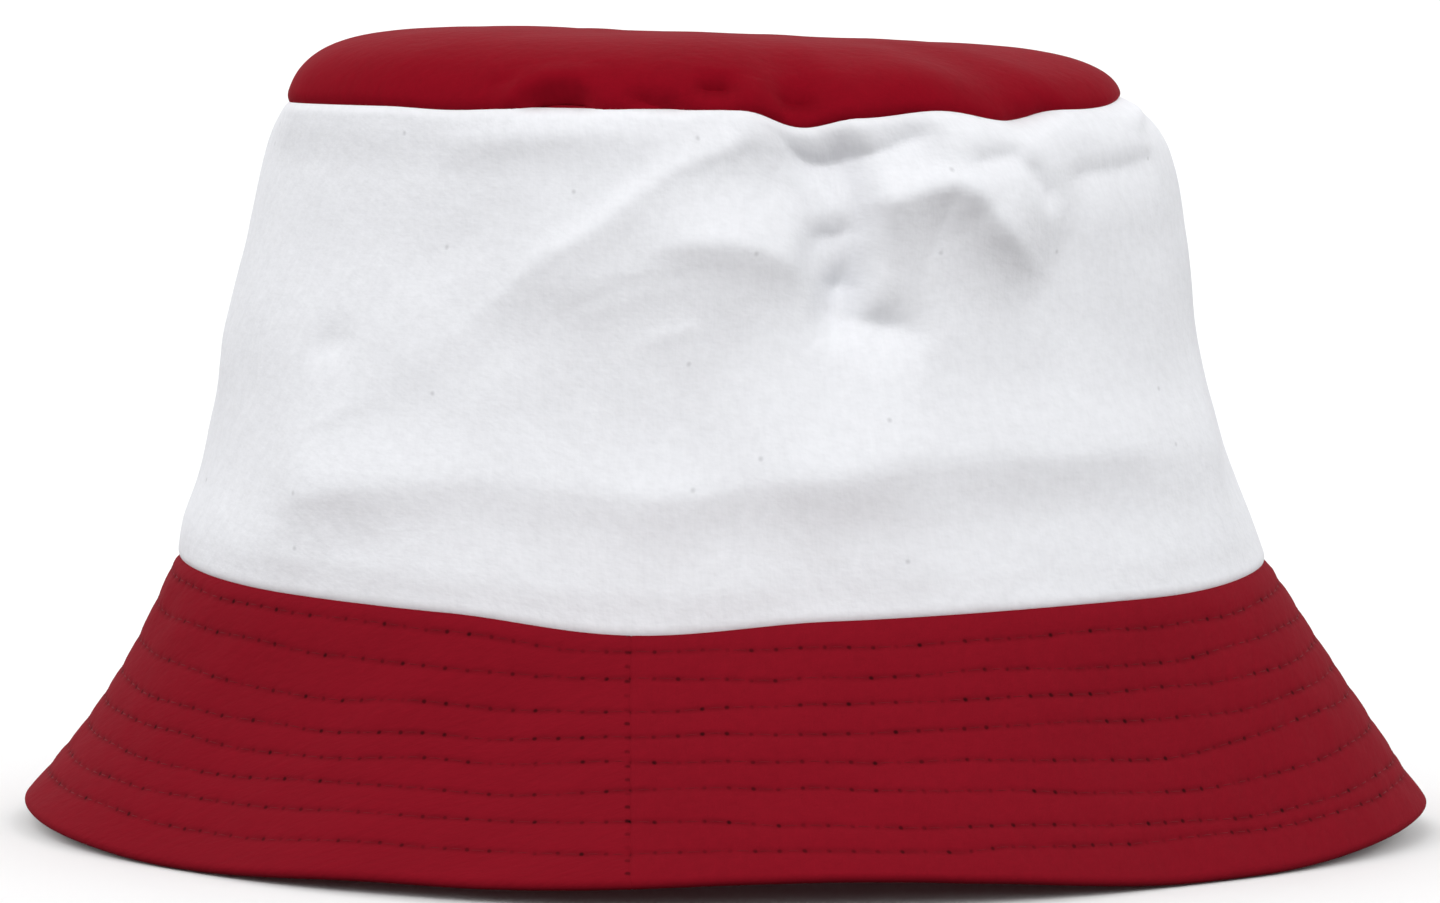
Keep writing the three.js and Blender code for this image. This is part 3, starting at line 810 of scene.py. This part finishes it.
def weave_height(tree, place):
    """The height of the cloth's face, about 0 to 1: noise stretched along the threads one way, as much
    the other way, and a faint sine across the diagonal ribs that bends with a broad noise."""
    warp_scale = (MAP_UNIT / THREAD_LUMP, MAP_UNIT / THREAD_WIDTH, 0)
    weft_scale = (MAP_UNIT / THREAD_WIDTH, MAP_UNIT / THREAD_LUMP, 0)
    warp_place = add(tree, VECTOR, [place, warp_scale], operation="MULTIPLY")
    weft_place = add(tree, VECTOR, [place, weft_scale], operation="MULTIPLY")
    warp = add(tree, NOISE, {"Vector": warp_place, "Scale": 1.0, "Detail": 2.0}, noise_dimensions="2D")
    weft = add(tree, NOISE, {"Vector": weft_place, "Scale": 1.0, "Detail": 2.0}, noise_dimensions="2D")
    threads = add(tree, MATH, [warp, weft], operation="ADD")
    rate = 2 * np.pi * MAP_UNIT / RIB_WIDTH
    slant = np.radians(RIB_SLANT)
    across = (np.cos(slant) * rate, np.sin(slant) * rate, 0)
    phase = add(tree, VECTOR, [place, across], operation="DOT_PRODUCT")
    bend = add(tree, NOISE, {"Vector": place, "Scale": MAP_UNIT / RIB_PATCH, "Detail": 1.0},
               noise_dimensions="2D")
    bent = add(tree, MATH, [bend, RIB_BEND, phase.outputs["Value"]], operation="MULTIPLY_ADD")
    rib = add(tree, MATH, [bent], operation="SINE")
    even = add(tree, MATH, [threads, 0.5], operation="MULTIPLY")
    return add(tree, MATH, [rib, RIB_SHARE, even], operation="MULTIPLY_ADD")


# Sizes of the cloth's blotches and lumps in millimetres, how high the lumps are for the weave's one,
# and how high the weave is, in millimetres.
BLOTCH_WIDTH = 24
LUMP_WIDTH = 2.2
LUMP_SHARE = 2.2
WEAVE_HEIGHT = 0.12


def cotton(name, colour, blotches, grain, relief):
    """Cotton twill: matt, because its short fibres scatter nearly all light. Its colour varies a little
    in soft blotches, in lumps about a millimetre wide and along the threads, and its lumps and weave
    are a fine bump. Returns the material, its tree, its shader and its shade so far."""
    material, tree, shader = new_material(name)
    place = add(tree, "ShaderNodeUVMap", uv_map="cloth")
    weave = weave_height(tree, place)
    broad = add(tree, NOISE, {"Vector": place, "Scale": MAP_UNIT / BLOTCH_WIDTH, "Detail": 2.0},
                noise_dimensions="2D")
    lumps = add(tree, NOISE, {"Vector": place, "Scale": MAP_UNIT / LUMP_WIDTH, "Detail": 3.0},
                noise_dimensions="2D")
    value = add(tree, MATH, [broad, blotches, 1 - (blotches + 2 * grain) / 2], operation="MULTIPLY_ADD")
    value = add(tree, MATH, [lumps, grain, value], operation="MULTIPLY_ADD")
    value = add(tree, MATH, [weave, grain, value], operation="MULTIPLY_ADD")
    height = add(tree, MATH, [lumps, LUMP_SHARE, weave], operation="MULTIPLY_ADD")
    bump = add(tree, "ShaderNodeBump", {"Height": height, "Strength": relief, "Distance": WEAVE_HEIGHT * MM})
    shade = add(tree, VECTOR, {0: linear(colour)[:3], "Scale": value}, operation="SCALE")
    tree.links.new(shade.outputs["Vector"], shader.inputs["Base Color"])
    tree.links.new(bump.outputs["Normal"], shader.inputs["Normal"])
    shader.inputs["Roughness"].default_value = 0.92
    shader.inputs["IOR"].default_value = 1.5
    shader.inputs["Sheen Roughness"].default_value = 0.5
    return material, tree, shader, shade


# Specks of seed left in the bleached cloth: the width of a cell and a speck's radius in millimetres,
# the part of the cells that has one, and how dark it is. They are drawn as wide as they need to show.
SPECK_CELL = 12
SPECK_RADIUS = 0.6
SPECK_PART = 0.22
SPECK_DARKNESS = 0.2


def white_cotton():
    """Bleached cotton twill: a clean, slightly cool white with a few dark specks of seed left in it."""
    material, tree, shader, shade = cotton(
        "bleached_cotton_twill", WHITE_DYE, blotches=0.04, grain=0.09, relief=0.4)
    place = add(tree, "ShaderNodeUVMap", uv_map="cloth")
    cells = add(tree, "ShaderNodeTexVoronoi", {"Vector": place, "Scale": MAP_UNIT / SPECK_CELL},
                voronoi_dimensions="2D")
    pick = add(tree, "ShaderNodeSeparateColor", [cells.outputs["Color"]])
    rare = add(tree, MATH, [pick, SPECK_PART], operation="LESS_THAN")
    radius = SPECK_RADIUS / SPECK_CELL
    dot = add(tree, RANGE, [cells.outputs["Distance"], radius / 5, radius, SPECK_DARKNESS, 0])
    speck = add(tree, MATH, [dot, rare], operation="MULTIPLY")
    keep = add(tree, MATH, [1, speck], operation="SUBTRACT")
    specked = add(tree, VECTOR, {0: shade, "Scale": keep}, operation="SCALE")
    tree.links.new(specked.outputs["Vector"], shader.inputs["Base Color"])
    shader.inputs["Specular IOR Level"].default_value = 0.2
    shader.inputs["Sheen Weight"].default_value = 0.05
    return material


def needle_holes(tree, across, along, across_size, along_size, radius):
    """1 at each place where both numbers are whole, fading to 0 at a radius: the needle's holes."""
    squares = []
    for number, size in ((across, across_size), (along, along_size)):
        nearest = add(tree, MATH, [number], operation="ROUND")
        off = add(tree, MATH, [number, nearest], operation="SUBTRACT")
        apart = add(tree, MATH, [off, size], operation="MULTIPLY")
        squares.append(add(tree, MATH, [apart, 2], operation="POWER"))
    away = add(tree, MATH, [add(tree, MATH, squares, operation="ADD")], operation="SQRT")
    return add(tree, RANGE, [away, radius * 0.25, radius, 1, 0], interpolation_type="SMOOTHSTEP")


# Painted shade of the sewing: a hole's radius in millimetres and how dark the painted shade in its middle
# is, how dark a row's painted groove shade is as a share of that, and from where to where it fades, as
# shares of ROW_SPACING. The painted shade of the brim's seam ends SEAM_SHADE_REACH millimetres from its line
# of holes. Where the thread is slack, the painted shade fades to SLACK_SHADE_SHARE, in patches SLACK_PATCH
# millimetres wide.
HOLE_RADIUS = 0.64
HOLE_SHADE_DARKNESS = 0.6
ROW_SHADE_SHARE = 0.4
ROW_SHADE_FADE = (0.02, 0.18)
SEAM_SHADE_REACH = 0.9
SLACK_SHADE_SHARE = 0.25
SLACK_PATCH = 5


def red_cotton(name, colour):
    """Dyed cotton twill: a deep red that holds almost no gloss."""
    material, tree, shader, shade = cotton(name, colour, blotches=0.1, grain=0.13, relief=0.45)
    shader.inputs["Specular IOR Level"].default_value = 0.06
    shader.inputs["Sheen Weight"].default_value = 0.03
    shader.inputs["Sheen Tint"].default_value = linear("#c04050")
    return material, tree, shader, shade


def quilted_cotton():
    """The same cloth sewn double for the brim. The needle's holes, and more faintly the grooves of the
    stitch rows, are painted darker in the colour: painted shade, because light doesn't reach into them. The
    painted shade is stronger where the thread is tight, and fainter where it is slack."""
    material, tree, shader, shade = red_cotton("dyed_cotton_twill_quilted", BRIM_DYE_WITH_SHADE)
    stitches = add(tree, PARTS, [add(tree, "ShaderNodeUVMap", uv_map="stitches")]).outputs
    # Painted shade: the holes and the row grooves darken the cloth's colour, as the shade that falls into
    # them.
    holes = needle_holes(tree, stitches["X"], stitches["Y"], STITCH_LENGTH, ROW_SPACING, HOLE_RADIUS)
    nearest = add(tree, MATH, [stitches["Y"]], operation="ROUND")
    off = add(tree, MATH, [stitches["Y"], nearest], operation="SUBTRACT")
    apart = add(tree, MATH, [off], operation="ABSOLUTE")
    groove_shade = add(tree, RANGE, [apart, *ROW_SHADE_FADE, ROW_SHADE_SHARE, 0], interpolation_type="SMOOTHSTEP")
    hole_and_groove_shade = add(tree, MATH, [holes, groove_shade], operation="ADD")
    cloth_place = add(tree, "ShaderNodeUVMap", uv_map="cloth")
    uneven = add(tree, NOISE, {"Vector": cloth_place, "Scale": MAP_UNIT / SLACK_PATCH, "Detail": 3.0},
                 noise_dimensions="2D")
    shade_strength = add(tree, RANGE, [uneven, 0.35, 0.65, SLACK_SHADE_SHARE * HOLE_SHADE_DARKNESS, HOLE_SHADE_DARKNESS])
    ends = add(tree, PARTS, [add(tree, "ShaderNodeUVMap", uv_map="ends")]).outputs
    off_line = add(tree, MATH, [ends["X"], SEAM_STITCH_INSET], operation="SUBTRACT")
    from_line = add(tree, MATH, [off_line], operation="ABSOLUTE")
    near_line = add(tree, MATH, [from_line, SEAM_SHADE_REACH], operation="LESS_THAN")
    half_off = add(tree, MATH, [off_line, 0.5], operation="MULTIPLY")
    # Painted shade of the front seam's needle holes, near its line of holes only.
    seam_holes = needle_holes(tree, half_off, ends["Y"], 2, SEAM_STITCH_LENGTH, HOLE_RADIUS)
    all_painted_shade = add(tree, MATH, [seam_holes, near_line, hole_and_groove_shade], operation="MULTIPLY_ADD")
    dark = add(tree, MATH, [all_painted_shade, shade_strength], operation="MULTIPLY")
    keep = add(tree, MATH, [1, dark], operation="SUBTRACT", use_clamp=True)
    shaded = add(tree, VECTOR, {0: shade, "Scale": keep}, operation="SCALE")
    tree.links.new(shaded.outputs["Vector"], shader.inputs["Base Color"])
    return material


def red_thread():
    """Spun polyester sewing thread, dyed to match: a touch smoother than the cloth, and painted darker, as
    painted shade of the deep groove it lies in."""
    material, tree, shader = new_material("dyed_spun_thread")
    place = add(tree, "ShaderNodeTexCoord").outputs["Object"]
    tone = add(tree, NOISE, {"Vector": place, "Scale": 900.0, "Detail": 1.0})
    # Painted shade: the thread's colour is scaled down to between 0.55 and 0.85 of the brim's red, as the
    # shade of its groove.
    value = add(tree, MATH, [tone, 0.3, 0.55], operation="MULTIPLY_ADD")
    shade = add(tree, VECTOR, {0: linear(BRIM_DYE_WITH_SHADE)[:3], "Scale": value}, operation="SCALE")
    tree.links.new(shade.outputs["Vector"], shader.inputs["Base Color"])
    shader.inputs["Roughness"].default_value = 0.7
    shader.inputs["Specular IOR Level"].default_value = 0.1
    return material


def studio_paper():
    """Matt white background paper."""
    material, _, shader = new_material("matt_white_paper")
    shader.inputs["Base Color"].default_value = (FLOOR_SHADE, FLOOR_SHADE, FLOOR_SHADE, 1)
    shader.inputs["Roughness"].default_value = 1
    shader.inputs["Specular IOR Level"].default_value = 0
    return material


# The camera: where it stands, how far it looks down, how far it is rolled, and its focal length for a
# 36 mm wide frame, as measured on the picture's level lines and outlines.
CAMERA_PLACE = (-0.57, -1200, 160.7)
CAMERA_PITCH = 4.288
CAMERA_ROLL = 0.4
CAMERA_LENS = 157.9
CAMERA_FRAME = 36

# Light: a belt of the sky halfway up is the brightest, alike all the way round, so that both sides of
# the hat are as bright as its front. A soft key comes from above the camera and a little to its left.
# The belt's heights are the upward part of the direction that the light comes from.
FLOOR_SHADE = 0.88
FLOOR_SIZE = 200000
SKY_LOW = 0.1
SKY_HIGH = 2.7
SKY_TOP = 0.04
BELT_FROM, BELT_UP = -0.05, 0.5
BELT_DOWN, BELT_TO = 0.53, 0.84
KEY_LIGHT = 0.52
KEY_HEIGHT = 48
KEY_TURN = -106
KEY_SOFTNESS = 25


def make_camera():
    """A camera from its right, up and backward directions."""
    pitch, roll = np.radians(CAMERA_PITCH), np.radians(CAMERA_ROLL)
    level, upward = np.array([1, 0, 0]), np.array([0, np.sin(pitch), np.cos(pitch)])
    right = level * np.cos(roll) + upward * np.sin(roll)
    up = upward * np.cos(roll) - level * np.sin(roll)
    back = np.array([0, -np.cos(pitch), np.sin(pitch)])
    turned = np.eye(4)
    turned[:3] = np.column_stack([right, up, back, np.array(CAMERA_PLACE) * MM])
    data = bpy.data.cameras.new("camera")
    data.lens = CAMERA_LENS
    data.sensor_width = CAMERA_FRAME
    data.sensor_fit = "HORIZONTAL"
    data.clip_end = 500
    camera = bpy.data.objects.new("camera", data)
    bpy.context.collection.objects.link(camera)
    camera.matrix_world = Matrix(turned.tolist())
    bpy.context.scene.camera = camera


def make_key():
    """A soft lamp far away, above the camera and a little to its left."""
    data = bpy.data.lights.new("key", "SUN")
    data.energy = KEY_LIGHT
    data.angle = np.radians(KEY_SOFTNESS)
    lamp = bpy.data.objects.new("key", data)
    bpy.context.collection.objects.link(lamp)
    lamp.rotation_euler = (np.radians(90 - KEY_HEIGHT), 0, np.radians(KEY_TURN + 90))


def make_sky():
    """A world whose brightness follows the height of the direction that light comes from: it grows
    smoothly up to the belt and falls smoothly above it."""
    world = bpy.data.worlds.new("studio")
    world.use_nodes = True
    tree = world.node_tree
    tree.nodes.clear()
    way = add(tree, "ShaderNodeTexCoord").outputs["Generated"]
    height = add(tree, PARTS, [way]).outputs["Z"]
    rise = add(tree, RANGE, [height, BELT_FROM, BELT_UP, SKY_LOW, SKY_HIGH], interpolation_type="SMOOTHSTEP")
    fall = add(tree, RANGE, [height, BELT_DOWN, BELT_TO, 1, SKY_TOP], interpolation_type="SMOOTHSTEP")
    strength = add(tree, MATH, [rise, fall], operation="MULTIPLY")
    light = add(tree, "ShaderNodeBackground", {"Color": (1, 1, 1, 1), "Strength": strength})
    add(tree, "ShaderNodeOutputWorld", {"Surface": light})
    bpy.context.scene.world = world


def make_floor():
    """A wide pale floor. It throws no light back at the hat, so that the folds keep their shade."""
    half = FLOOR_SIZE * MM / 2
    corners = [(-half, -half, 0), (half, -half, 0), (half, half, 0), (-half, half, 0)]
    mesh = bpy.data.meshes.new("floor")
    mesh.from_pydata(corners, [], [(0, 1, 2, 3)])
    mesh.materials.append(studio_paper())
    floor = bpy.data.objects.new("floor", mesh)
    floor.visible_diffuse = False
    bpy.context.collection.objects.link(floor)


make_camera()
make_floor()
make_sky()
make_key()
bpy.context.scene.view_settings.view_transform = "Standard"

white = white_cotton()
red, _, _, _ = red_cotton("dyed_cotton_twill", TIP_DYE)
red_quilted = quilted_cotton()
thread = red_thread()

make_band(white)
make_tip(red)
for side_name, node_name, half_seams in (
    ("right", "brim_right", (FRONT_SEAM, BACK_SEAM)),
    ("left", "brim_left", (BACK_SEAM, FRONT_SEAM_AGAIN)),
):
    make_brim_half(f"brim_{side_name}_cloth", node_name, half_seams, red_quilted)
    stitch_runs = row_stitches(half_seams, 1) + row_stitches(half_seams, -1)
    make_threads(f"brim_{side_name}_stitches", stitch_runs, thread)
